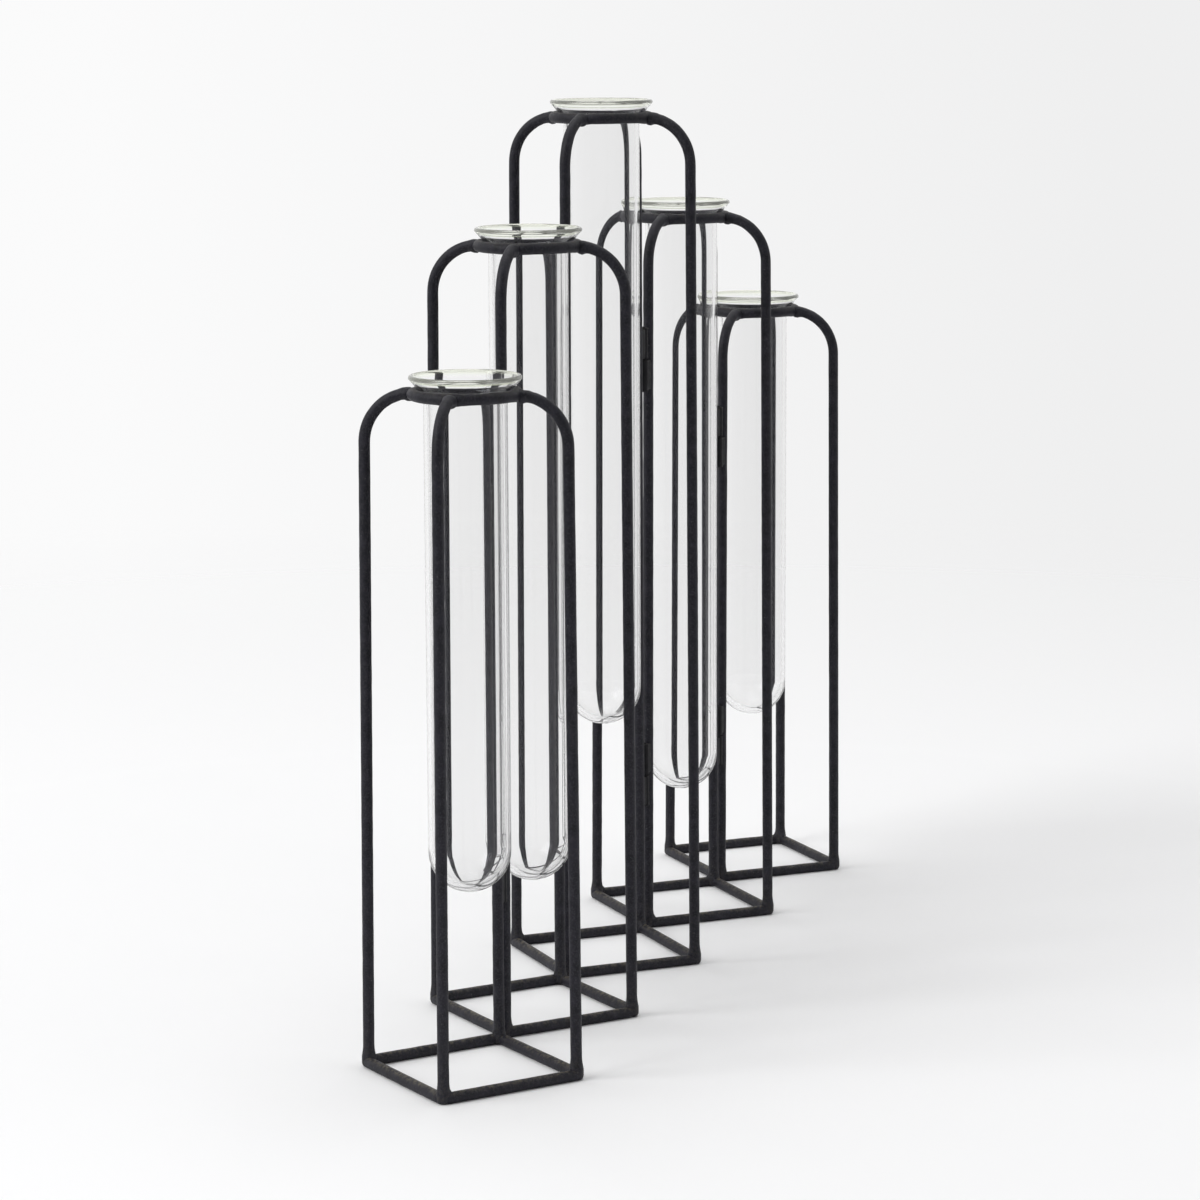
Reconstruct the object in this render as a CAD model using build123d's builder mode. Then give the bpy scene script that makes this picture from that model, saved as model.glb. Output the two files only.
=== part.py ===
from build123d import *
from math import atan2, cos, degrees, radians, sin, sqrt, tan
import os

# A hinged row of five bent-rod frames, each holding a round-bottomed glass tube by its flared lip.
# Millimetres and degrees. The row runs along X, Z is up, and the frames stand on Z = 0.

# Rod frames
rod_diameter = 3.4
leg_spacing = 44.3  # between leg axes at the foot, along one side of the square
base_bend = 2.0  # centreline radius of the base's corners
foot_flat = 0.2  # dressed off the underside of the base so that it stands flat
leg_lean = 1.4  # how much nearer the frame's axis a leg ends than it starts
shoulder_drop = 1.2  # how far the leg's top run falls from the collar towards the turn
collar_stub = 1.8  # straight rod between the collar's axis and the turn, which takes up the rest of the run
short_collar = 199.0  # height of the collar's middle on the two end frames
middle_collar = 236.0
tall_collar = 271.5
weld_bulge = 0.5  # how far the weld round a leg's end stands out from the rod
foot_weld = 2.4  # how far the weld runs up the leg from the base's rod
collar_weld = 2.0  # how far the weld runs out along the leg from the collar's rod
weld_sink = 0.3  # depth of the weld's two edges inside the rods that it joins

# Glass tubes
tube_diameter = 24.0
tube_wall = 1.3
tube_floor = 1.9  # glass at the very bottom
short_tube = 150.0
long_tube = 200.0
flare_angle = 39.0  # of the lip's cone, from the vertical
flare_blend = 4.0  # outer radius where the straight wall turns into the cone
lip_thickness = 1.6  # rolled bead round the mouth
lip_rise = 5.5  # top of the bead above the collar's middle

# Hinges
pin_diameter = 1.6
barrel_diameter = 3.6
barrel_chamfer = 0.3
knuckle_height = 10.2
web_width = 2.0  # weld between a barrel and its leg
web_inset = 1.2  # the weld stops this far short of the barrel's ends
low_hinge_height = 53.0  # where the two knuckles of a lower hinge meet
end_hinge_drop = 41.0  # upper hinge below the lower collar of the pair, at the row's two ends
inner_hinge_drop = 44.5  # the same beside the tall frame
pin_proud = 0.4
pin_chamfer = 0.25

# Clearances
collar_play = 1.2  # tube wall to collar, all round
seat_gap = 0.2  # lip's cone to the collar's rod
hinge_gap = 0.3  # barrel to the other frame's leg
knuckle_gap = 0.3  # between the two knuckles of a hinge
pin_play = 0.05  # radial, in the knuckle that turns

# How each frame stands turned from the one before it, seen from above
turns = [-1.5, -7.5, 0.0, 0.0]

collar_heights = [short_collar, middle_collar, tall_collar, middle_collar, short_collar]
tube_lengths = [short_tube, long_tube, long_tube, long_tube, short_tube]
hinge_drops = [end_hinge_drop, inner_hinge_drop, inner_hinge_drop, end_hinge_drop]
leg_angles = {"right": -90, "front": 180, "left": 90, "back": 0}

rod_radius = rod_diameter / 2
rod_axis_height = rod_radius - foot_flat
end_gap = rod_radius / 2  # a leg's rod stops this far from the axis of the rod it lands on
foot_reach = leg_spacing / sqrt(2)
pin_offset = rod_radius + hinge_gap + barrel_diameter / 2
pin_reach = foot_reach + pin_offset
tube_radius = tube_diameter / 2
bore_radius = tube_radius - tube_wall
collar_radius = tube_radius + collar_play + rod_radius


def step(point, heading, distance):
    return (
        point[0] + distance * cos(radians(heading)),
        point[1] + distance * sin(radians(heading)),
    )


def chain(start, headings):
    """Centres of the frames and places of the pins between them, from the first frame's centre on."""
    centres, pins = [start], []
    for before, after in zip(headings, headings[1:]):
        pins.append(step(centres[-1], before, pin_reach))
        centres.append(step(pins[-1], after, pin_reach))
    return centres, pins


def lay_out_row():
    """Centres, headings and pins of the row, swung to run along X and centred on the box round its feet."""
    headings = [0.0]
    for turn in turns:
        headings.append(headings[-1] + turn)
    unswung = chain((0.0, 0.0), headings)[0]
    swing = -degrees(atan2(unswung[-1][1], unswung[-1][0]))
    headings = [heading + swing for heading in headings]
    feet = [
        step(centre, heading + angle, foot_reach)
        for centre, heading in zip(chain((0.0, 0.0), headings)[0], headings)
        for angle in leg_angles.values()
    ]
    middle = [(min(f[axis] for f in feet) + max(f[axis] for f in feet)) / 2 for axis in (0, 1)]
    centres, pins = chain((-middle[0], -middle[1]), headings)
    return centres, headings, pins


def upright_plane(centre, heading):
    """Plane through a frame's axis, with local x outwards along the heading and local y up."""
    outwards = (cos(radians(heading)), sin(radians(heading)), 0)
    square_to = (sin(radians(heading)), -cos(radians(heading)), 0)
    return Plane(origin=(centre[0], centre[1], 0), x_dir=outwards, z_dir=square_to)


def leg_reach(height, collar_height):
    """Distance of a leg's axis from the frame's axis at a height on its straight run."""
    rise = (height - rod_axis_height) / (collar_height - shoulder_drop - rod_axis_height)
    return foot_reach - leg_lean * rise


def make_base(centre, heading):
    """Square of bent rod, its corners under the legs, dressed flat underneath."""
    corner_reach = foot_reach + base_bend * (sqrt(2) - 1)
    corners = [step((0, 0), heading + angle, corner_reach) for angle in leg_angles.values()]
    floor_plane = Plane(origin=(centre[0], centre[1], rod_axis_height))
    with BuildPart() as base:
        with BuildLine(floor_plane) as loop:
            FilletPolyline(*corners, radius=base_bend, close=True)
        with BuildSketch(Plane(origin=loop.line @ 0, z_dir=loop.line % 0)):
            Circle(rod_radius)
        sweep()
        split(bisect_by=Plane.XY, keep=Keep.TOP)
    return base.part


def make_collar(centre, heading, height):
    """Ring of the same rod, which the tube hangs in."""
    with BuildPart() as collar:
        with BuildSketch(upright_plane(centre, heading)):
            with Locations((collar_radius, height)):
                Circle(rod_radius)
        revolve(axis=Axis((centre[0], centre[1], 0), (0, 0, 1)))
    return collar.part


def weld_profile(length):
    """Half section of a weld, as (along the leg, out), from inside the rod it lands on to its end."""
    edge = rod_radius - weld_sink
    near_end = -end_gap - weld_sink
    far_end = rod_radius - end_gap + length
    return [
        (near_end, 0),
        (near_end, edge),
        (0, rod_radius + weld_bulge),
        (far_end, edge),
        (far_end, 0),
    ]


def make_leg(centre, heading, collar_height, base, collar):
    """Leaning rod, turned in to the collar at its top, welded at each end and cut to fit what it meets."""
    radial = upright_plane(centre, heading)
    on_base = radial.from_local_coords((foot_reach, rod_axis_height, 0))
    shoulder = radial.from_local_coords((foot_reach - leg_lean, collar_height - shoulder_drop, 0))
    on_collar = radial.from_local_coords((collar_radius, collar_height, 0))
    straight_run = shoulder - on_base
    top_run = on_collar - shoulder
    half_turn = straight_run.get_angle(top_run) / 2
    bend_radius = (top_run.length - collar_stub) / tan(radians(half_turn))
    foot = on_base + straight_run.normalized() * end_gap
    tip = on_collar - top_run.normalized() * end_gap
    with BuildPart() as leg:
        with BuildLine(radial) as path:
            FilletPolyline(foot, shoulder, tip, radius=bend_radius)
        with BuildSketch(Plane(origin=path.line @ 0, z_dir=path.line % 0)):
            Circle(rod_radius)
        sweep()
        up_the_leg = Plane(origin=path.line @ 0, x_dir=path.line % 0, z_dir=radial.z_dir)
        off_the_collar = Plane(origin=path.line @ 1, x_dir=-(path.line % 1), z_dir=radial.z_dir)
        for end, length in ((up_the_leg, foot_weld), (off_the_collar, collar_weld)):
            with BuildSketch(end):
                with BuildLine():
                    Polyline(weld_profile(length), close=True)
                make_face()
            revolve(axis=Axis(end.origin, end.x_dir))
        add(base, mode=Mode.SUBTRACT)
        add(collar, mode=Mode.SUBTRACT)
    return leg.part


def make_tube(centre, heading, collar_height, length):
    """Blown glass tube: round bottom, straight wall, conical flare with a rolled lip, hung on the collar."""
    slope = tan(radians(flare_angle))
    across = 1 / cos(radians(flare_angle))
    top = collar_height + lip_rise
    bottom = top - length
    lip_radius = lip_thickness / 2
    lip_height = lip_rise - lip_radius
    cone_outside = collar_radius - (rod_radius + seat_gap) * across
    cone_inside = cone_outside - tube_wall * across
    lip_reach = (cone_outside + cone_inside) / 2 + lip_height * slope
    inner_floor = bottom + tube_floor + bore_radius
    outer_corner = (tube_radius, collar_height + (tube_radius - cone_outside) / slope)
    inner_corner = (bore_radius, collar_height + (bore_radius - cone_inside) / slope)
    outer_end = (cone_outside + lip_height * slope, collar_height + lip_height)
    inner_end = (cone_inside + lip_height * slope, collar_height + lip_height)
    with BuildPart() as tube:
        with BuildSketch(upright_plane(centre, heading)):
            with BuildLine():
                outside = CenterArc((0, bottom + tube_radius), tube_radius, -90, 90)
                flare = FilletPolyline(outside @ 1, outer_corner, outer_end, radius=flare_blend)
                throat = FilletPolyline(
                    inner_end, inner_corner, (bore_radius, inner_floor), radius=flare_blend + tube_wall
                )
                inside = CenterArc((0, inner_floor), bore_radius, 0, -90)
                Line(flare @ 1, throat @ 0)
                Line(inside @ 1, outside @ 0)
            make_face()
            with Locations((lip_reach, collar_height + lip_height)):
                Circle(lip_radius)
        revolve(axis=Axis((centre[0], centre[1], 0), (0, 0, 1)))
    return tube.part


def make_knuckle(pin_place, heading, low_end, collar_height, bore, leg):
    """Barrel on a pin, welded along one side to its own leg; the heading points from the pin to the leg."""
    middle = low_end + knuckle_height / 2
    to_leg = pin_reach - leg_reach(middle, collar_height)
    floor_plane = Plane(
        origin=(pin_place[0], pin_place[1], low_end),
        x_dir=(cos(radians(heading)), sin(radians(heading)), 0),
        z_dir=(0, 0, 1),
    )
    with BuildPart() as knuckle:
        with BuildSketch(floor_plane):
            Circle(barrel_diameter / 2)
        extrude(amount=knuckle_height)
        chamfer(knuckle.edges().filter_by(GeomType.CIRCLE), length=barrel_chamfer)
        with BuildSketch(floor_plane.offset(web_inset)):
            with Locations((to_leg / 2, 0)):
                Rectangle(to_leg, web_width)
        extrude(amount=knuckle_height - 2 * web_inset)
        with Locations(floor_plane.offset(knuckle_height)):
            Hole(radius=bore)
        add(leg, mode=Mode.SUBTRACT)
    return knuckle.part


def make_pin(pin_place, low_end, length):
    """Plain hinge pin with broken edges, standing a little proud of both knuckles."""
    with BuildPart() as pin:
        with BuildSketch(Plane(origin=(pin_place[0], pin_place[1], low_end))):
            Circle(pin_diameter / 2)
        extrude(amount=length)
        chamfer(pin.edges().filter_by(GeomType.CIRCLE), length=pin_chamfer)
    return pin.part


def save(part, name):
    part.label = name
    export_step(part, f"parts/{name}.step")


os.makedirs("parts", exist_ok=True)
centres, headings, pins = lay_out_row()
legs = {}

# Five frames and their tubes
for number, (centre, heading, collar_height, length) in enumerate(
    zip(centres, headings, collar_heights, tube_lengths), start=1
):
    base = make_base(centre, heading)
    collar = make_collar(centre, heading, collar_height)
    save(base, f"frame_{number}_base")
    save(collar, f"frame_{number}_collar")
    for side, angle in leg_angles.items():
        leg = make_leg(centre, heading + angle, collar_height, base, collar)
        legs[number, side] = leg
        save(leg, f"frame_{number}_{side}_leg")
    save(make_tube(centre, heading, collar_height, length), f"tube_{number}")

# Two hinges between neighbours. The nearer frame's knuckle is on top in the upper hinge and underneath
# in the lower one, so the pair can turn but neither frame can be lifted off the other.
pair_height = 2 * knuckle_height + knuckle_gap
for first, (pin_place, drop) in enumerate(zip(pins, hinge_drops), start=1):
    second = first + 1
    lower_collar = min(collar_heights[first - 1], collar_heights[second - 1])
    sides = {
        first: ("back", headings[first - 1] + 180),
        second: ("front", headings[second - 1]),
    }
    for level, height, stack in (
        ("upper", lower_collar - drop, (second, first)),
        ("lower", low_hinge_height, (first, second)),
    ):
        hinge = f"hinge_{first}_{second}_{level}"
        low_end = height - pair_height / 2
        for place, number in zip(("bottom", "top"), stack):
            side, heading = sides[number]
            bore = pin_diameter / 2 + (pin_play if place == "top" else 0)
            knuckle_low = low_end + (knuckle_height + knuckle_gap if place == "top" else 0)
            knuckle = make_knuckle(
                pin_place, heading, knuckle_low, collar_heights[number - 1], bore, legs[number, side]
            )
            save(knuckle, f"{hinge}_{place}_knuckle")
        save(make_pin(pin_place, low_end - pin_proud, pair_height + 2 * pin_proud), f"{hinge}_pin")
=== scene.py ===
import bpy
import numpy as np
from mathutils import Matrix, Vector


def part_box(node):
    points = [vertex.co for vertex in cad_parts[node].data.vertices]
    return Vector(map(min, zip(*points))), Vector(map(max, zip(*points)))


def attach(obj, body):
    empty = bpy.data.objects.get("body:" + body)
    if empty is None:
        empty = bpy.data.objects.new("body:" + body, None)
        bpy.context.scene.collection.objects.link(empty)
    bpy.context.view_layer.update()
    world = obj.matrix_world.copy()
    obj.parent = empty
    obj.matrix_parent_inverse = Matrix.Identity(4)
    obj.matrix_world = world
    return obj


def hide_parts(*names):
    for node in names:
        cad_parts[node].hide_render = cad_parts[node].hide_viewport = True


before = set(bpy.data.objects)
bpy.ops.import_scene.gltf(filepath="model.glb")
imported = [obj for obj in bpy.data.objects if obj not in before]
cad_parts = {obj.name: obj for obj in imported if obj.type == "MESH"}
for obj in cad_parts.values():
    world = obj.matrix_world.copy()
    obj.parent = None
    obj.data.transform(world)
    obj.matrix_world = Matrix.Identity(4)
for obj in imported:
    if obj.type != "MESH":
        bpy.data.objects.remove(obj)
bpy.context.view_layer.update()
mm = 0.001
upright = np.array([0, 0, 1.0])
frameCount = 5
legTurns = dict(right=-90, front=180, left=90, back=0)   # degrees from a frame's heading along the row
seeds = dict(rods=40, hinges=70)                         # each frame and hinge line adds its own number


def unit(v):
    return np.asarray(v, float) / np.linalg.norm(v)


def heading(degrees):  # level unit vector at an angle from +X
    a = np.radians(degrees)
    return np.array([np.cos(a), np.sin(a), 0.0])


def middle(node):  # of its box
    low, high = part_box(node)
    return (np.array(low) + np.array(high)) / 2


# Where each frame stands: its collar gives the axis and the height, the hinge pins give the heading
def readRow():
    places = {}
    for n in range(1, frameCount + 1):
        collar = middle(f"frame_{n}_collar")
        if n < frameCount:
            toPin = middle(f"hinge_{n}_{n + 1}_upper_pin") - collar
        else:
            toPin = collar - middle(f"hinge_{n - 1}_{n}_upper_pin")
        places[n] = dict(
            axis=np.array([collar[0], collar[1], 0.0]),
            collarHeight=collar[2],
            turn=np.degrees(np.arctan2(toPin[1], toPin[0])),
        )
    return places


row = readRow()
print("row read", {n: round(float(p["turn"]), 2) for n, p in row.items()})


# A ring of quads per step along a grid: rows run along the shape, columns run round it
def gridFaces(rows, cols, closedRows):
    i = np.arange(rows if closedRows else rows - 1)[:, None]
    j = np.arange(cols)[None, :]
    following = (i + 1) % rows
    beside = (j + 1) % cols
    corners = [i * cols + j, i * cols + beside, following * cols + beside, following * cols + j]
    return np.stack(np.broadcast_arrays(*corners), -1).reshape(-1, 4)


# A surface from a grid of points: open ends are closed by a fan to a pole, and faces are turned outwards
def surface(grid, closedRows, poles=None):
    rows, cols = grid.shape[:2]
    points = grid.reshape(-1, 3)
    quads = gridFaces(rows, cols, closedRows)
    fans = np.zeros((0, 3), int)
    if not closedRows:
        ends = grid.mean(1)[[0, -1]] if poles is None else np.asarray(poles)
        j = np.arange(cols)
        beside = (j + 1) % cols
        last = (rows - 1) * cols
        count = len(points)
        points = np.concatenate([points, ends])
        fans = np.concatenate([
            np.stack([beside, j, np.full(cols, count)], -1),
            np.stack([last + j, last + beside, np.full(cols, count + 1)], -1),
        ])
    triangles = np.concatenate([quads[:, [0, 1, 2]], quads[:, [0, 2, 3]], fans])
    a, b, c = (points[triangles[:, k]] - points.mean(0) for k in range(3))
    if np.einsum("ij,ij->i", a, np.cross(b, c)).sum() < 0:  # signed volume
        quads, fans = quads[:, ::-1], fans[:, ::-1]
    return points, quads, fans


fullShade = 0.99   # a face with more than this at every corner is on the rim


# One object from several surfaces; shade is 0 to 1 at each point, for worn coat or for a tinted rim, and
# the faces that are shaded in full take the rim's own material, with its painted glow, if there is one
def makePiece(name, surfaces, material, body, shade, rim=None):
    points, faces, onPaintedRim, start = [], [], [], 0
    for (corners, quads, fans), value in zip(surfaces, shade):
        points.append(corners)
        faces += (quads + start).tolist() + (fans + start).tolist()
        onPaintedRim += [value[quads].min(1) > fullShade, value[fans].min(1) > fullShade]
        start += len(corners)
    mesh = bpy.data.meshes.new(name)
    mesh.from_pydata(np.concatenate(points).tolist(), [], faces)
    mesh.polygons.foreach_set("use_smooth", np.ones(len(mesh.polygons), bool))
    layer = mesh.attributes.new("shade", "FLOAT", "POINT")
    layer.data.foreach_set("value", np.concatenate(shade).astype(np.float32))
    mesh.materials.append(material)
    if rim is not None:
        mesh.materials.append(rim)
        mesh.polygons.foreach_set("material_index", np.concatenate(onPaintedRim).astype(np.int32))
    mesh.update()
    piece = bpy.data.objects.new(name, mesh)
    bpy.context.scene.collection.objects.link(piece)
    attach(piece, body)
    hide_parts(name.removesuffix("_look"))


# Rounds a corner: an arc that is tangent to both runs, from the first run to the second
def roundCorner(before, corner, after, radius, count):
    along, onward = unit(np.subtract(corner, before)), unit(np.subtract(after, corner))
    bend = np.arccos(np.clip(along @ onward, -1, 1))
    side = unit(onward - (onward @ along) * along)
    start = np.asarray(corner, float) - along * radius * np.tan(bend / 2)
    t = np.linspace(0, bend, count)[:, None]
    return start + side * radius * (1 - np.cos(t)) + along * radius * np.sin(t)


# Distance covered along a line of points, from its start to each of them
def covered(line):
    return np.concatenate([[0], np.cumsum(np.linalg.norm(np.diff(line, axis=0), axis=1))])


# Even steps along a line of points, by the distance covered; a closed line ends one step before its start
def evenSteps(line, step, closed=False, fewest=4):
    line = np.asarray(line, float)
    if closed:
        line = np.concatenate([line, line[:1]])
    reach = covered(line)
    count = max(int(round(reach[-1] / step)), fewest)
    s = np.linspace(0, reach[-1], count + 1)[: count if closed else count + 1]
    return np.stack([np.interp(s, reach, line[:, k]) for k in range(line.shape[1])], -1), s, reach[-1]


waves = dict(
    turns=(0, 1, 1, 2, 2, 3),   # how often each wave goes round the rod
    sizes=(0.4, 1.0),           # least and most of each
    fewest=2,                   # times along the rod
    total=2.5,                  # the sum that counts as the whole amount
)


# Uneven drawn and coated rod: a sum of sines that run along the rod and round it, in whole numbers
def unevenness(rng, s, length, theta, amount, shortest):
    heights = np.zeros((len(s), len(theta)))
    most = max(int(length / shortest), waves["fewest"] + 1)
    for turns in waves["turns"]:
        count = rng.integers(waves["fewest"], most)
        phase = rng.uniform(0, 2 * np.pi)
        size = rng.uniform(*waves["sizes"])
        along = 2 * np.pi * count * s[:, None] / length
        heights += size * np.sin(along + turns * theta[None, :] + phase)
    return amount * heights / waves["total"]


# Swept rod: each point of the path plus a varying radius, turned round the path's two cross directions
def sweep(path, across, upward, radius, theta, closed):
    level = np.cos(theta)[None, :, None] * across[:, None, :]
    ring = level + np.sin(theta)[None, :, None] * upward[:, None, :]
    return surface(path[:, None, :] + radius[:, :, None] * ring, closed), ring


# Turned shape: the profile's (radius, height) points carried round an upright axis
def spin(profile, axis, count, closed):
    phi = np.linspace(0, 2 * np.pi, count, endpoint=False)
    around = np.stack([np.cos(phi), np.sin(phi), np.zeros(count)], -1)
    out, up = profile[:, 0], profile[:, 1]
    inner = slice(None) if closed else slice(1, -1)
    grid = axis + out[inner, None, None] * around[None] + up[inner, None, None] * upright
    poles = None if closed else axis + np.stack([np.zeros(2), np.zeros(2), up[[0, -1]]], -1)
    return surface(grid, closed, poles)


# A new material with its nodes, its links and its main shader
def shaderOf(name):
    material = bpy.data.materials.new(name)
    material.use_nodes = True
    tree = material.node_tree
    return material, tree.nodes, tree.links, tree.nodes["Principled BSDF"]


# Shade that a piece has at each point
def shadeOf(nodes):
    shade = nodes.new("ShaderNodeAttribute")
    shade.attribute_name = "shade"
    return shade.outputs["Fac"]


def noiseOn(nodes, links, place, scale, detail):
    noise = nodes.new("ShaderNodeTexNoise")
    noise.inputs["Scale"].default_value = scale
    noise.inputs["Detail"].default_value = detail
    links.new(place, noise.inputs["Vector"])
    return noise.outputs["Fac"]


noiseRange = (0.3, 0.7)   # most of a noise lies between these


# Stretches a value from its limits to the two ends of a share, and holds it there
def spread(nodes, links, value, limits=noiseRange, share=(0.0, 1.0)):
    ranged = nodes.new("ShaderNodeMapRange")
    sockets = ("From Min", "From Max", "To Min", "To Max")
    for socket, number in zip(sockets, (*limits, *share)):
        ranged.inputs[socket].default_value = number
    links.new(value, ranged.inputs["Value"])
    return ranged.outputs["Result"]


mixSockets = dict(first=6, second=7, result=2)   # of the mix node when it blends colours


def blendColours(nodes, links, factor, first, second):
    mix = nodes.new("ShaderNodeMix")
    mix.data_type = "RGBA"
    links.new(factor, mix.inputs["Factor"])
    for socket, colour in ((mixSockets["first"], first), (mixSockets["second"], second)):
        if isinstance(colour, tuple):
            mix.inputs[socket].default_value = (*colour, 1)
        else:
            links.new(colour, mix.inputs[socket])
    return mix.outputs[mixSockets["result"]]


def combine(nodes, links, operation, first, second):
    result = nodes.new("ShaderNodeMath")
    result.operation = operation
    for socket, value in zip(result.inputs, (first, second)):
        if isinstance(value, (int, float)):
            socket.default_value = value
        else:
            links.new(value, socket)
    return result.outputs[0]


def bumpFrom(nodes, links, heights, distance, strength, under=None):
    bump = nodes.new("ShaderNodeBump")
    bump.inputs["Distance"].default_value = distance
    bump.inputs["Strength"].default_value = strength
    links.new(heights, bump.inputs["Height"])
    if under is not None:
        links.new(under, bump.inputs["Normal"])
    return bump.outputs["Normal"]


coat = dict(
    dark=(0.0046, 0.0044, 0.0080),
    light=(0.0155, 0.0148, 0.0230),
    grit=(0.041, 0.040, 0.047),
    worn=(0.112, 0.099, 0.073),
    speck=(0.11, 0.11, 0.115),
    mottle=(330.0, 3.0),        # noise per metre, and its detail
    flecks=(900.0, 4.0),
    grain=(1900.0, 2.0),
    gritLimits=(0.46, 0.68),    # grain at which grit begins and is full
    gritShare=(0.0, 0.55),
    patchLimits=(0.42, 0.68),   # flecks between which a worn patch grows
    specks=620.0,               # cells per metre
    speckSize=(0.06, 0.13),     # of a cell, from a speck's middle to its edge
    speckShare=(0.75, 0.0),
    speckLimits=(0.45, 0.65),   # grain that lets a speck show
    lumpBump=(0.35 * mm, 0.55),
    grainBump=(0.12 * mm, 0.5),
    roughness=(0.46, 0.66),
    gloss=0.27,
)


# Coat: a mottle from dark to light, grit, patches worn where a piece is shaded, and a few pale specks
def coatMaterial(name, look):
    material, nodes, links, shader = shaderOf(name)
    place = nodes.new("ShaderNodeTexCoord").outputs["Object"]
    mottle = noiseOn(nodes, links, place, *look["mottle"])
    grain = noiseOn(nodes, links, place, *look["grain"])
    flecks = noiseOn(nodes, links, place, *look["flecks"])
    cells = nodes.new("ShaderNodeTexVoronoi")
    cells.inputs["Scale"].default_value = look["specks"]
    links.new(place, cells.inputs["Vector"])
    colour = blendColours(nodes, links, spread(nodes, links, mottle), look["dark"], look["light"])
    gritty = spread(nodes, links, grain, look["gritLimits"], look["gritShare"])
    colour = blendColours(nodes, links, gritty, colour, look["grit"])
    patches = spread(nodes, links, flecks, look["patchLimits"])
    worn = combine(nodes, links, "MULTIPLY", shadeOf(nodes), patches)
    colour = blendColours(nodes, links, worn, colour, look["worn"])
    specks = spread(nodes, links, cells.outputs["Distance"], look["speckSize"], look["speckShare"])
    rare = combine(nodes, links, "MULTIPLY", specks, spread(nodes, links, grain, look["speckLimits"]))
    links.new(blendColours(nodes, links, rare, colour, look["speck"]), shader.inputs["Base Color"])
    links.new(spread(nodes, links, grain, share=look["roughness"]), shader.inputs["Roughness"])
    shader.inputs["Specular IOR Level"].default_value = look["gloss"]
    lumps = bumpFrom(nodes, links, mottle, *look["lumpBump"])
    links.new(bumpFrom(nodes, links, grain, *look["grainBump"], lumps), shader.inputs["Normal"])
    return material


glass = dict(
    clear=(0.941, 0.941, 0.941),
    lip=(0.960, 0.978, 0.900),   # a thicker rim shows the glass's own colour
    index=1.47,
    mirror=(0.25, 0.25, 0.26),   # tint that keeps its reflections faint
    clearness=1.0,               # share of the light that it lets through
    roughness=(0.0, 0.012),
    lipRoughness=0.03,           # a fire-polished rim is softly rippled
    smears=(45.0, 4.0),          # noise per metre, and its detail
    smearLimits=(0.45, 0.75),
    lines=(60.0, 0.0),
    drawn=(1, 1, 0.08),          # faint draw lines run up the tube
    lineBump=(0.01 * mm, 0.01),
)


# Glass: clear, with smears and draw lines, and tinted and rippled where the piece is shaded; with
# clearness under one, the rest is a painted diffuse glow
def glassMaterial(name, look):
    material, nodes, links, shader = shaderOf(name)
    place = nodes.new("ShaderNodeTexCoord").outputs["Object"]
    drawn = nodes.new("ShaderNodeMapping")
    drawn.inputs["Scale"].default_value = look["drawn"]
    links.new(place, drawn.inputs["Vector"])
    shade = shadeOf(nodes)
    links.new(blendColours(nodes, links, shade, look["clear"], look["lip"]), shader.inputs["Base Color"])
    smears = noiseOn(nodes, links, place, *look["smears"])
    smeared = spread(nodes, links, smears, look["smearLimits"], look["roughness"])
    rippled = combine(nodes, links, "MULTIPLY", shade, look["lipRoughness"])
    links.new(combine(nodes, links, "ADD", smeared, rippled), shader.inputs["Roughness"])
    lines = noiseOn(nodes, links, drawn.outputs["Vector"], *look["lines"])
    links.new(bumpFrom(nodes, links, lines, *look["lineBump"]), shader.inputs["Normal"])
    shader.inputs["Transmission Weight"].default_value = look["clearness"]
    shader.inputs["IOR"].default_value = look["index"]
    shader.inputs["Specular Tint"].default_value = (*look["mirror"], 1)
    return material


blackCoat = coatMaterial("black_textured_coat", coat)
# Hinges: the rods' coat made darker and less glossy
hingeLook = dict(
    coat,
    dark=(0.0035, 0.0034, 0.0048),
    light=(0.0095, 0.0092, 0.0120),
    grit=(0.016, 0.016, 0.018),
    worn=(0.030, 0.028, 0.026),
    gloss=0.18,
    roughness=(0.50, 0.70),
)
hingeCoat = coatMaterial("hinge_coat", hingeLook)
clearGlass = glassMaterial("clear_drawn_glass", glass)
# Glass for the bead: a painted glow, from a pale diffuse share that takes the place of some of the
# clearness
rimGlassWithPaintedGlow = dict(
    glass,
    lip=(0.955, 0.975, 0.865),
    lipRoughness=0.05,
    clearness=0.75,   # the rest is painted glow, a pale diffuse share that stands in for the light that the wall brings to its edge
)
paintedGlowRim = glassMaterial("glass_rim_painted_glow", rimGlassWithPaintedGlow)
print("materials made")

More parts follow.
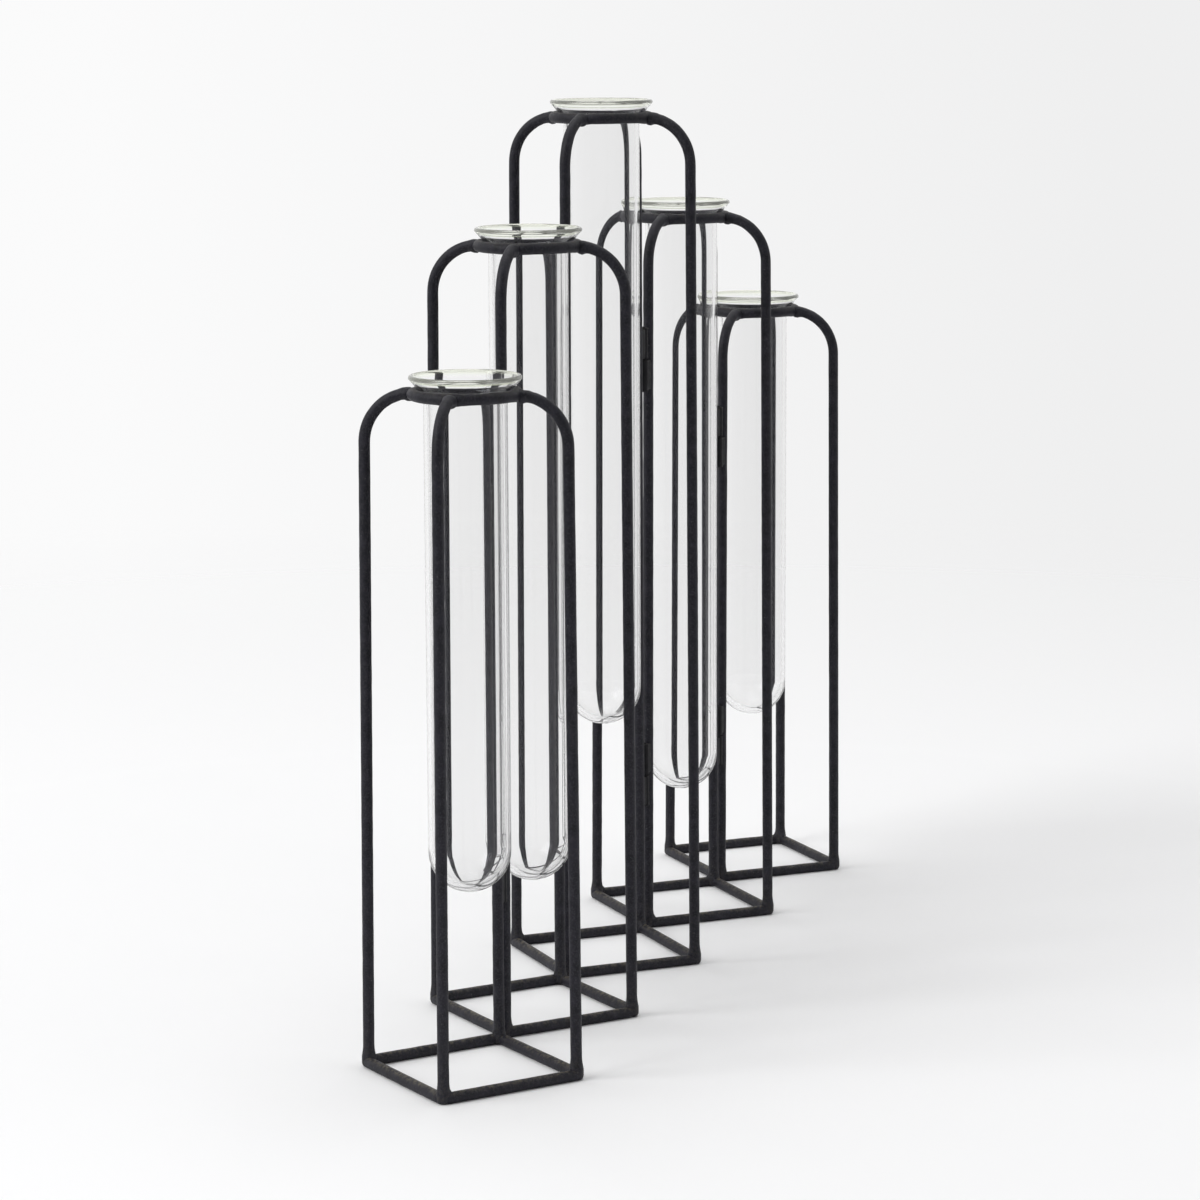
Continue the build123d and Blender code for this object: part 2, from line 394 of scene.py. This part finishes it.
rod = dict(
    radius=1.7 * mm,
    footReach=44.3 / np.sqrt(2) * mm,   # leg axis to frame axis at the floor
    axisHeight=1.5 * mm,                # of the base's rod, with its underside dressed flat
    lean=1.4 * mm,
    drop=1.2 * mm,                      # a leg's top run falls this much from the collar to the turn
    stub=1.8 * mm,                      # and is straight this far from the collar's axis
    baseBend=2.0 * mm,
    collarRadius=14.9 * mm,
    uneven=0.025 * mm,
    baseWave=7 * mm,                    # shortest wave of the unevenness, in the base
    wave=6 * mm,                        # and in the collar and the legs
    inset=0.02 * mm,                    # so that the unevenness runs about the solid's outline
    step=1.1 * mm,
    collarStep=0.8 * mm,
    basePoints=9,                       # in each bend of the base
    bendPoints=31,                      # in a leg's bend
    sides=26,
)
weld = dict(
    corner=(0.30 * mm, 0.48 * mm),   # how far a foot stands out round the base's corner, least and most
    most=0.48 * mm,                  # keeps a foot with its unevenness inside the solid's outline
    footStart=5.0 * mm,              # above the base's axis, where the foot begins to swell
    footFull=1.7 * mm,               # and where it has its full width
    footPower=1.6,
    footRows=(7, 13),                # below the base's axis and above it
    sole=0.12 * mm,                  # a foot's underside above the floor
    bulge=0.7 * mm,                  # beside a leg where it meets its collar
    under=1.4,                       # share of that under the leg
    over=0.4,                        # and on its top
    collar=2.6 * mm,                 # length of that weld
    hidden=0.6,                      # share of its width that a leg has on the collar's axis
    lump=0.35 * mm,                  # on a collar at each leg
    lumpLength=3.4 * mm,
    lumpTurn=np.pi / 4,              # below the collar's outside, where it is fullest
    gusset=(0.2 * mm, 2.0 * mm),     # weld beside a foot, along each of the base's rods, least and most
    gussetTurns=(-135, 135),         # degrees from a leg's outside to the base's rods
    gussetRise=2.4 * mm,             # it fades over this height
    gussetPower=1.5,
    gussetSpread=np.radians(20),
    rough=0.17 * mm,                 # unevenness of the welds at the collar
    roughStep=2.2 * mm,              # and its shortest wave
    roughReach=3.2 * mm,             # it fades over this length of rod
)
wear = dict(
    power=3,                # how sharply the wear keeps to the top of a rod
    collar=0.35,            # share of the base's wear
    foot=0.25,
    footLength=7 * mm,      # it fades over this length of a leg
    pin=0.3,
)
theta = np.linspace(0, 2 * np.pi, rod["sides"], endpoint=False)


# Foot by its height over the base's axis: a fading swell above, and a ball below that stands on the floor
def footSwell(height, corner):
    run = (weld["footStart"] - height) / (weld["footStart"] - weld["footFull"])
    swell = corner * np.clip(run, 0, 1) ** weld["footPower"]
    full = rod["radius"] + corner
    below = np.sqrt(np.maximum(full ** 2 - np.minimum(height, 0) ** 2, 0)) - full
    return swell + below


# Welds in a foot's two inner corners: each a bell round the leg, towards a base rod, that fades upwards
def footGussets(height, rng):
    faded = np.clip(1 - (height - rod["radius"] / 2) / weld["gussetRise"], 0, 1)
    above = faded ** weld["gussetPower"]
    below = np.clip(1 + height / rod["radius"], 0, 1)
    swell = np.zeros((len(height), len(theta)))
    for towards in weld["gussetTurns"]:
        apart = np.angle(np.exp(1j * (theta - np.radians(towards)))) / weld["gussetSpread"]
        swell += rng.uniform(*weld["gusset"]) * (above * below)[:, None] * np.exp(-apart ** 2)[None, :]
    return swell


# Weld at the collar by the distance from its axis: grows as a square towards it, least on the leg's top
def collarSwell(distance):
    grown = weld["bulge"] * np.clip(1 - (distance - rod["radius"]) / weld["collar"], 0, 1) ** 2
    sides = np.sin(theta) ** 2 + weld["under"] * np.clip(-np.cos(theta), 0, 1) ** 2
    sides += weld["over"] * np.clip(np.cos(theta), 0, 1) ** 2
    return grown[:, None] * sides[None, :]


# Share of its width that a leg keeps inside its collar, so that its end stays hidden there
def buried(distance):
    return weld["hidden"] + (1 - weld["hidden"]) * np.clip(distance / rod["radius"], 0, 1)


# Base square: four straight runs and four bends, swept by the rod, with its underside cut at the floor
def makeBase(n, place, rng):
    reach = rod["footReach"] + rod["baseBend"] * (np.sqrt(2) - 1)
    corners = [heading(place["turn"] + turn)[:2] * reach for turn in legTurns.values()]
    behind, ahead = corners[-1:] + corners[:-1], corners[1:] + corners[:1]
    bends = [
        roundCorner(*three, rod["baseBend"], rod["basePoints"]) for three in zip(behind, corners, ahead)
    ]
    line, s, length = evenSteps(np.concatenate(bends), rod["step"], closed=True)
    path = np.column_stack([line, np.full(len(line), rod["axisHeight"])]) + place["axis"]
    along = np.roll(path, -1, axis=0) - np.roll(path, 1, axis=0)
    along /= np.linalg.norm(along, axis=1)[:, None]
    upward = np.tile(upright, (len(path), 1))
    across = np.cross(along, upward)
    radius = rod["radius"] - rod["inset"]
    radius = radius + unevenness(rng, s, length, theta, rod["uneven"], rod["baseWave"])
    (points, quads, fans), ring = sweep(path, across, upward, radius, theta, True)
    points[:, 2] = np.maximum(points[:, 2], 0)
    worn = np.clip(ring[:, :, 2], 0, 1).ravel() ** wear["power"]
    makePiece(f"frame_{n}_base_look", [(points, quads, fans)], blackCoat, f"frame_{n}", [worn])


# Collar: a circle swept by the rod, fuller and rougher where the four legs are welded on
def makeCollar(n, place, rng):
    steps = int(2 * np.pi * rod["collarRadius"] / rod["collarStep"])
    phi = np.linspace(0, 2 * np.pi, steps, endpoint=False)
    across = np.stack([np.cos(phi), np.sin(phi), np.zeros(steps)], -1)
    upward = np.tile(upright, (steps, 1))
    path = place["axis"] + across * rod["collarRadius"] + upward * place["collarHeight"]
    s = phi * rod["collarRadius"]
    length = s[-1] + s[1]
    radius = rod["radius"] - rod["inset"]
    radius = radius + unevenness(rng, s, length, theta, rod["uneven"], rod["wave"])
    rough = unevenness(rng, s, length, theta, weld["rough"], weld["roughStep"])
    outside = np.clip(np.cos(theta + weld["lumpTurn"]), 0, 1)[None, :]
    for turn in legTurns.values():
        apart = np.angle(np.exp(1j * (phi - np.radians(place["turn"] + turn)))) * rod["collarRadius"]
        radius += rough * np.exp(-(apart / weld["roughReach"]) ** 2)[:, None]
        radius += weld["lump"] * np.exp(-(apart / weld["lumpLength"]) ** 2)[:, None] * outside
    swept, ring = sweep(path, across, upward, radius, theta, True)
    worn = wear["collar"] * np.clip(ring[:, :, 2], 0, 1).ravel() ** wear["power"]
    makePiece(f"frame_{n}_collar_look", [swept], blackCoat, f"frame_{n}", [worn])


# Leg: a leaning run, a bend and a short top run in one upright plane, swept by the rod with its welds
def makeLeg(n, place, side, rng):
    out = heading(place["turn"] + legTurns[side])
    foot = np.array([rod["footReach"], rod["axisHeight"]])
    shoulder = np.array([rod["footReach"] - rod["lean"], place["collarHeight"] - rod["drop"]])
    tip = np.array([rod["collarRadius"], place["collarHeight"]])
    halfTurn = np.arccos(unit(shoulder - foot) @ unit(tip - shoulder)) / 2
    bendRadius = (np.linalg.norm(tip - shoulder) - rod["stub"]) / np.tan(halfTurn)
    bend = roundCorner(foot, shoulder, tip, bendRadius, rod["bendPoints"])
    sole = np.array([rod["footReach"], weld["sole"]])
    flareTop = foot + unit(shoulder - foot) * weld["footStart"]
    upper = evenSteps(np.concatenate([[flareTop], bend, [tip]]), rod["step"])[0]
    rowsBelow, rowsAbove = weld["footRows"]
    below = np.linspace(sole, foot, rowsBelow)[:-1]
    above = np.linspace(foot, flareTop, rowsAbove)[:-1]
    line = np.concatenate([below, above, upper])
    s = covered(line)
    length = s[-1]
    path = place["axis"] + line[:, :1] * out + line[:, 1:] * upright
    along = np.gradient(line, s, axis=0)
    along /= np.linalg.norm(along, axis=1)[:, None]
    across = along[:, 1:] * out - along[:, :1] * upright
    sideways = np.tile(np.cross(out, upright), (len(path), 1))
    height = line[:, 1] - rod["axisHeight"]
    radius = rod["radius"] - rod["inset"]
    radius = radius + unevenness(rng, s, length, theta, rod["uneven"], rod["wave"])
    radius += footSwell(height, rng.uniform(*weld["corner"]))[:, None]
    radius = np.minimum(radius, rod["radius"] + weld["most"])
    radius += footGussets(height, rng)
    rough = unevenness(rng, s, length, theta, weld["rough"], weld["roughStep"])
    radius += rough * np.exp(-(length - rod["radius"] - s) / weld["roughReach"])[:, None]
    radius = (radius + collarSwell(length - s)) * buried(length - s)[:, None]
    swept = sweep(path, across, sideways, radius, theta, False)[0]
    nearFoot = wear["foot"] * np.exp(-s / wear["footLength"])
    worn = np.concatenate([np.repeat(nearFoot, len(theta)), [0, 0]])
    makePiece(f"frame_{n}_{side}_leg_look", [swept], blackCoat, f"frame_{n}", [worn])


for n, place in row.items():
    rng = np.random.default_rng(seeds["rods"] + n)
    makeBase(n, place, rng)
    makeCollar(n, place, rng)
    for side in legTurns:
        makeLeg(n, place, side, rng)
print("rod frames made")

barrel = dict(
    radius=1.8 * mm,
    pinRadius=0.8 * mm,
    play=0.05 * mm,        # in the knuckle that turns
    edge=0.12 * mm,
    edgePoints=6,
    uneven=0.05 * mm,      # of the barrel's wall, inwards
    wallRows=12,
    sides=40,
    weldWidth=2.8 * mm,
    weldReach=0.4,         # of the way from pin to leg, to each side of the middle
    weldInset=0.25 * mm,
    weldGrid=(21, 28),
    squareness=0.16,       # of the weld bead, 1 is round
    dome=0.25 * mm,        # of a pin's ends
    domePoints=7,
    pinSides=28,
)


# Squares off a sine or cosine: its size to a power, with its sign kept
def power(x, p):
    return np.sign(x) * np.abs(x) ** p


# Weld bead between a barrel and its leg: a superellipsoid that is as high as the barrel, less an inset
def weldBead(axis, legAxis, low, high):
    span = legAxis - axis
    along, sideways = unit(span), np.cross(upright, unit(span))
    rows, cols = barrel["weldGrid"]
    u = np.linspace(-np.pi / 2, np.pi / 2, rows)[1:-1, None]
    v = np.linspace(0, 2 * np.pi, cols, endpoint=False)[None, :]
    halfLength = np.linalg.norm(span) * barrel["weldReach"]
    halfHeight = (high - low) / 2 - barrel["weldInset"]
    square = barrel["squareness"]
    alongPart = halfLength * power(np.cos(u), square) * power(np.cos(v), square)
    sidePart = barrel["weldWidth"] / 2 * power(np.cos(u), square) * power(np.sin(v), square)
    upPart = halfHeight * power(np.sin(u), square) * np.ones_like(v)
    centre = axis + span / 2 + upright * (low + high) / 2
    grid = centre + alongPart[..., None] * along + sidePart[..., None] * sideways
    return surface(grid + upPart[..., None] * upright, False)


# Knuckle: a barrel with rounded edges turned about the pin, and the weld bead to its leg
def makeKnuckle(name, body, place, side, bore, rng):
    low, high = (v[2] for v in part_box(name))
    pin = middle(name.rsplit("_", 2)[0] + "_pin")
    axis = np.array([pin[0], pin[1], 0.0])
    r, e = barrel["radius"], barrel["edge"]
    t = np.linspace(0, np.pi / 2, barrel["edgePoints"])
    lowEdge = np.stack([r - e + e * np.sin(t), low + e - e * np.cos(t)], -1)
    highEdge = np.stack([r - e + e * np.cos(t), high - e + e * np.sin(t)], -1)
    rows = barrel["wallRows"]
    wall = np.stack([np.full(rows, r), np.linspace(low + e, high - e, rows + 2)[1:-1]], -1)
    wall[:, 0] += rng.uniform(-barrel["uneven"], 0.0, rows)
    profile = np.concatenate([[[bore, low]], lowEdge, wall, highEdge, [[bore, high]]])
    turned = spin(profile, axis, barrel["sides"], True)
    rise = (low + high) / 2 / place["collarHeight"]
    legReach = rod["footReach"] - rod["lean"] * rise
    legAxis = place["axis"] + heading(place["turn"] + legTurns[side]) * legReach
    bead = weldBead(axis, legAxis, low, high)
    worn = [np.clip((s[0][:, 2] - high) / mm + 1, 0, 1) for s in (turned, bead)]   # rubbed on top
    makePiece(name + "_look", [turned, bead], hingeCoat, body, worn)


# Pin: a plain rod turned about its own axis, with a shallow dome at each end
def makePin(name, body):
    low, high = (v[2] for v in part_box(name))
    pin = middle(name)
    t = np.linspace(0, np.pi / 2, barrel["domePoints"])
    r, d = barrel["pinRadius"], barrel["dome"]
    bottom = np.stack([r * np.sin(t), low + d * (1 - np.cos(t))], -1)
    top = np.stack([r * np.cos(t), high - d * (1 - np.sin(t))], -1)
    top[-1, 0] = 0
    axis = np.array([pin[0], pin[1], 0.0])
    turned = spin(np.concatenate([bottom, top]), axis, barrel["pinSides"], False)
    worn = np.full(len(turned[0]), wear["pin"])
    makePiece(name + "_look", [turned], hingeCoat, body, [worn])


for first in range(1, frameCount):
    second = first + 1
    rng = np.random.default_rng(seeds["hinges"] + first)
    for level, stack in (("upper", (second, first)), ("lower", (first, second))):
        hinge = f"hinge_{first}_{second}_{level}"
        for end, n in zip(("bottom", "top"), stack):
            bore = barrel["pinRadius"] + (barrel["play"] if end == "top" else 0)
            side = "back" if n == first else "front"
            makeKnuckle(f"{hinge}_{end}_knuckle", f"frame_{n}", row[n], side, bore, rng)
        makePin(f"{hinge}_pin", f"frame_{stack[0]}")
print("hinges made")

tube = dict(
    radius=12.0 * mm,
    wall=1.3 * mm,
    floor=1.9 * mm,
    flare=np.radians(39),
    blend=4.0 * mm,             # radius of the outside where the wall turns out to the flare
    lip=0.8 * mm,               # radius of the rolled bead
    lipSlope=np.radians(6.8),   # at which each side of the flare swells into the bead
    lipHeight=4.69 * mm,        # middle of the bead above the collar's middle
    seat=0.2 * mm,              # flare to the collar's rod
    tintReach=2.0,              # radii of the bead from its middle, where its tint ends
    rows=dict(bottom=40, wall=40, blend=12, flare=25, bead=30),
    sides=160,
)


# One side of the flare: a straight run that swells as a square of the distance, to end along the bead
def flareSide(start, end, side):
    swell = tube["lip"] * np.cos(tube["lipSlope"]) - tube["wall"] / 2
    swellLength = 2 * swell / np.tan(tube["lipSlope"])
    t = np.linspace(0, 1, tube["rows"]["flare"])[1:-1, None]
    foot = end - side * swell
    left = (1 - t) * np.linalg.norm(foot - start)
    return start + t * (foot - start) + side * swell * np.clip(1 - left / swellLength, 0, 1) ** 2


# Tube: one closed half section, out along the round bottom, up the wall, round the lip and back inside
def makeTube(n, place):
    name = f"tube_{n}"
    rows = tube["rows"]
    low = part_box(name)[0][2]
    collar = place["collarHeight"]
    slope, lengthened = np.tan(tube["flare"]), 1 / np.cos(tube["flare"])
    outer, inner = tube["radius"], tube["radius"] - tube["wall"]
    inFromRod = (rod["radius"] + tube["seat"]) * lengthened
    flareOuter = rod["collarRadius"] - inFromRod   # radius of the flare at the collar's height
    flareInner = flareOuter - tube["wall"] * lengthened
    rim = tube["lipHeight"]
    t = np.linspace(-np.pi / 2, 0, rows["bottom"])
    floorIn = low + tube["floor"] + inner
    bottomOut = np.stack([outer * np.cos(t), low + outer + outer * np.sin(t)], -1)
    bottomIn = np.stack([inner * np.cos(t), floorIn + inner * np.sin(t)], -1)[::-1]
    bottomOut[0, 0] = 0
    bottomIn[-1, 0] = 0
    outCorner = (outer, collar + (outer - flareOuter) / slope)
    inCorner = (inner, collar + (inner - flareInner) / slope)
    outEnd = (flareOuter + rim * slope, collar + rim)
    inEnd = (flareInner + rim * slope, collar + rim)
    blendOut = roundCorner(bottomOut[-1], outCorner, outEnd, tube["blend"], rows["blend"])
    blendIn = roundCorner(inEnd, inCorner, (inner, floorIn), tube["blend"] + tube["wall"], rows["blend"])
    along = np.array([np.sin(tube["flare"]), np.cos(tube["flare"])])
    outward = np.array([np.cos(tube["flare"]), -np.sin(tube["flare"])])
    mouth = np.pi / 2 + tube["lipSlope"]   # where the bead leaves the wall
    roll = np.linspace(mouth, -mouth, rows["bead"])[:, None]
    beadMiddle = (np.array(outEnd) + inEnd) / 2
    bead = beadMiddle + tube["lip"] * (np.cos(roll) * along + np.sin(roll) * outward)
    flareOut = flareSide(blendOut[-1], bead[0], outward)
    flareIn = flareSide(blendIn[0], bead[-1], -outward)[::-1]
    wallSteps = np.linspace(0, 1, rows["wall"])[1:-1, None]
    wallOut = bottomOut[-1] + wallSteps * (blendOut[0] - bottomOut[-1])
    wallIn = blendIn[-1] + wallSteps * (bottomIn[0] - blendIn[-1])
    outside = [bottomOut, wallOut, blendOut, flareOut]
    inside = [flareIn, blendIn, wallIn, bottomIn]
    profile = np.concatenate([*outside, bead, *inside])
    turned = spin(profile, place["axis"], tube["sides"], False)
    # Tint towards the bead is the glass's own colour; the bead's faces, tinted in full, take the rim
    # glass with its painted glow
    fromBead = np.linalg.norm(profile - beadMiddle, axis=1) / tube["lip"]
    tint = np.repeat(np.clip(tube["tintReach"] - fromBead, 0, 1)[1:-1], tube["sides"])
    tint = np.concatenate([tint, [0, 0]])
    makePiece(name + "_look", [turned], clearGlass, name, [tint], paintedGlowRim)


for n, place in row.items():
    makeTube(n, place)
print("tubes made")

floor = dict(
    radius=5.0,
    centre=0.05,            # share of the radius that a fan fills
    rings=24,
    sides=96,
    colour=(0.88, 0.88, 0.885),
    fade=(0.35, 1.0),       # distances between which it gives way to the backdrop, so no far edge shows
    drop=0.05 * mm,
)


# Floor: a pale disc of rings round a fan
def makeFloor():
    sides = floor["sides"]
    phi = np.linspace(0, 2 * np.pi, sides, endpoint=False)
    out = np.linspace(floor["centre"], 1, floor["rings"])[:, None] * floor["radius"]
    grid = np.stack(np.broadcast_arrays(out * np.cos(phi), out * np.sin(phi), -floor["drop"]), -1)
    mesh = bpy.data.meshes.new("floor")
    quads = gridFaces(*grid.shape[:2], False)
    centre = np.array([[0, 0, -floor["drop"]]])
    j = np.arange(sides)
    fan = np.stack([np.full(sides, len(grid) * sides), j, (j + 1) % sides], -1)
    points = np.concatenate([grid.reshape(-1, 3), centre])
    mesh.from_pydata(points.tolist(), [], quads[:, ::-1].tolist() + fan.tolist())
    material = bpy.data.materials.new("pale_floor")
    material.use_nodes = True
    nodes, links = material.node_tree.nodes, material.node_tree.links
    nodes.clear()
    paper = nodes.new("ShaderNodeBsdfDiffuse")
    paper.inputs["Color"].default_value = (*floor["colour"], 1)
    clear = nodes.new("ShaderNodeBsdfTransparent")
    distance = nodes.new("ShaderNodeVectorMath")
    distance.operation = "LENGTH"
    links.new(nodes.new("ShaderNodeTexCoord").outputs["Object"], distance.inputs[0])
    mix = nodes.new("ShaderNodeMixShader")
    links.new(spread(nodes, links, distance.outputs["Value"], floor["fade"]), mix.inputs["Fac"])
    links.new(paper.outputs[0], mix.inputs[1])
    links.new(clear.outputs[0], mix.inputs[2])
    links.new(mix.outputs[0], nodes.new("ShaderNodeOutputMaterial").inputs["Surface"])
    mesh.materials.append(material)
    piece = bpy.data.objects.new("floor", mesh)
    bpy.context.scene.collection.objects.link(piece)


makeFloor()

backdrop = dict(
    shown=(0.962, 0.962, 0.964),
    shaded=(0.863, 0.863, 0.865),
    across=(-0.13, 0.13),   # cosines to the right of the view, from shown to shaded
    light=(1, 1, 1),
    level=0.95,
    front=199.0,            # bearing of the weaker side
    fall=(-0.6, 0.3),       # cosines from that side between which the light drops
    weakest=0.3,
)


# Backdrop: white where it is seen, greyed towards the right of the view by painted shade, and a soft
# light that is weaker on the side that the camera stands on
def makeWorld():
    world = bpy.data.worlds.new("studio")
    bpy.context.scene.world = world
    world.use_nodes = True
    nodes, links = world.node_tree.nodes, world.node_tree.links
    nodes.clear()
    path = nodes.new("ShaderNodeLightPath").outputs
    seen = combine(nodes, links, "MAXIMUM", path["Is Camera Ray"], path["Is Transmission Ray"])
    outward = nodes.new("ShaderNodeTexCoord").outputs["Generated"]

    def cosineTo(bearing):
        cosine = nodes.new("ShaderNodeVectorMath")
        cosine.operation = "DOT_PRODUCT"
        cosine.inputs[1].default_value = heading(bearing)
        links.new(outward, cosine.inputs[0])
        return cosine.outputs["Value"]

    levels = (backdrop["level"], backdrop["level"] * backdrop["weakest"])
    level = spread(nodes, links, cosineTo(backdrop["front"]), backdrop["fall"], levels)
    side = spread(nodes, links, cosineTo(backdrop["front"] + 90), backdrop["across"])
    soft, paper = nodes.new("ShaderNodeBackground"), nodes.new("ShaderNodeBackground")
    soft.inputs["Color"].default_value = (*backdrop["light"], 1)
    links.new(level, soft.inputs["Strength"])
    shade = blendColours(nodes, links, side, backdrop["shown"], backdrop["shaded"])
    links.new(shade, paper.inputs["Color"])
    mix = nodes.new("ShaderNodeMixShader")
    links.new(seen, mix.inputs["Fac"])
    links.new(soft.outputs[0], mix.inputs[1])
    links.new(paper.outputs[0], mix.inputs[2])
    links.new(mix.outputs[0], nodes.new("ShaderNodeOutputWorld").inputs["Surface"])


makeWorld()

# Lamps and camera stand round the row: a bearing from +X, a height angle and a distance from a target
lamps = dict(
    key=dict(bearing=138, rise=33, distance=2.6, size=1.7, power=39.0),
    fill=dict(bearing=275, rise=28, distance=4.0, size=2.6, power=17.0),
    above=dict(bearing=20, rise=78, distance=4.0, size=2.6, power=44.0),
)
lampTarget = (0, 0, 0.12)
camera = dict(
    bearing=199.144,
    rise=9.425,
    distance=1.21535,
    roll=-0.249,
    target=(-0.01405, 0.0, 0.11966),
    lens=114.771,
    sensor=36,
)


# An object's matrix at that place, its local -Z towards the target
def facing(target, bearing, rise, distance, roll=0.0):
    climb = np.radians(rise)
    away = np.cos(climb) * heading(bearing) + np.sin(climb) * upright
    right = unit(np.cross(upright, away))
    up = np.cross(away, right)
    c, s = np.cos(np.radians(roll)), np.sin(np.radians(roll))
    columns = [c * right + s * up, c * up - s * right, away, np.asarray(target) + away * distance]
    matrix = np.eye(4)
    matrix[:3] = np.stack(columns, -1)
    return Matrix(matrix.tolist())


for name, lamp in lamps.items():
    data = bpy.data.lights.new(name, "AREA")
    data.shape = "SQUARE"
    data.size = lamp["size"]
    data.energy = lamp["power"]
    shown = bpy.data.objects.new(name, data)
    bpy.context.scene.collection.objects.link(shown)
    shown.matrix_world = facing(lampTarget, lamp["bearing"], lamp["rise"], lamp["distance"])

view = bpy.data.cameras.new("camera")
view.sensor_width = camera["sensor"]
view.lens = camera["lens"]
viewer = bpy.data.objects.new("camera", view)
bpy.context.scene.collection.objects.link(viewer)
viewer.matrix_world = facing(
    camera["target"], camera["bearing"], camera["rise"], camera["distance"], camera["roll"]
)
bpy.context.scene.camera = viewer
bpy.context.scene.view_settings.view_transform = "Standard"
print("stage set")
